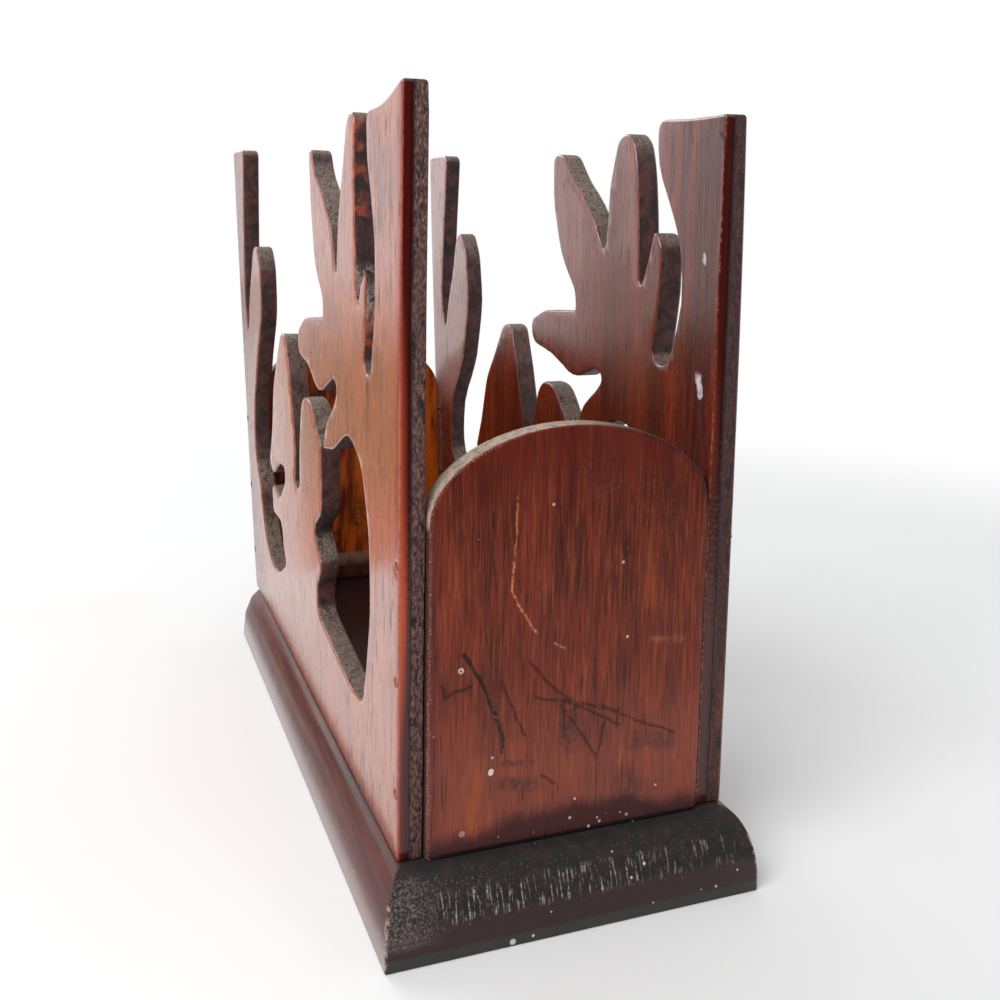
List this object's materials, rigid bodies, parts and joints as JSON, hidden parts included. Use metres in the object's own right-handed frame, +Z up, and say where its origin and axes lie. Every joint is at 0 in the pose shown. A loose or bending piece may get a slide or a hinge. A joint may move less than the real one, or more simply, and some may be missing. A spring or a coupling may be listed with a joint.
{
  "type": "upright napkin holder",
  "caption": "Open wooden napkin holder: fret-sawn side panels and arched end panels nailed to a moulded base board, open at the top.",
  "frame": {"origin": "on the table surface, under the middle of the base board", "axes": "+X across the holder towards the right side panel, +Y along it from the near end to the far end, +Z up"},
  "size_m": [0.097, 0.232, 0.1956],
  "materials": {
    "base_wood": "old dark stain, worn",
    "side_wood": "old thin varnish, worn",
    "end_wood": "old reddish varnish, worn",
    "nail_steel": "dull"
  },
  "bodies": {
    "root": {"base_board": "base_wood", "left_side_panel": "side_wood", "right_side_panel": "side_wood", "near_end_panel": "end_wood", "far_end_panel": "end_wood", "base_nails": "nail_steel", "corner_pins": "nail_steel"}
  },
  "joints": []
}
